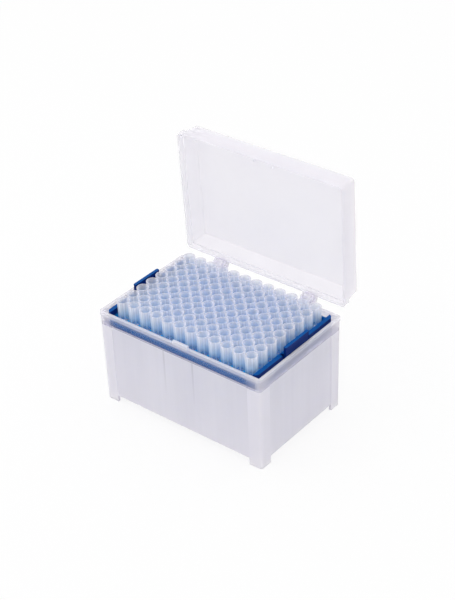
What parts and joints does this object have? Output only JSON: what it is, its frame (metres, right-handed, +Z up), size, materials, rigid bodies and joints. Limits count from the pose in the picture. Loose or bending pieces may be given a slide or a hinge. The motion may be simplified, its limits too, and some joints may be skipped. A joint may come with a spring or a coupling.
{
  "type": "box of pipette tips",
  "caption": "Clear tub on four corner feet with a snap-hinged lid standing open, a blue rack plate and a full grid of hollow tapered pipette tips.",
  "frame": {"origin": "on the bench, under the middle of the whole box with its lid standing open", "axes": "+Z up, -Y the long side with the latch, +Y the hinges, +X the right-hand end seen from the latch"},
  "size_m": [0.1254, 0.1026, 0.1547],
  "materials": {
    "natural_polypropylene": "satin, translucent",
    "blue_polypropylene": "satin, solid colour",
    "clear_polypropylene": "smooth, nearly clear"
  },
  "bodies": {
    "base": {"tub": "natural_polypropylene", "rack_plate": "blue_polypropylene", "tips_column_1": "clear_polypropylene", "tips_column_2": "clear_polypropylene", "tips_column_3": "clear_polypropylene", "tips_column_4": "clear_polypropylene", "tips_column_5": "clear_polypropylene", "tips_column_6": "clear_polypropylene", "tips_column_7": "clear_polypropylene", "tips_column_8": "clear_polypropylene", "tips_column_9": "clear_polypropylene", "tips_column_10": "clear_polypropylene", "tips_column_11": "clear_polypropylene", "tips_column_12": "clear_polypropylene"},
    "lid": {"lid": "natural_polypropylene"}
  },
  "joints": [
    {"name": "lid_hinge", "type": "hinge", "parent": "base", "child": "lid", "pos_m": [0, 0.03528, 0.0662], "axis": [1, 0, 0], "range_deg": [0, 87]}
  ]
}
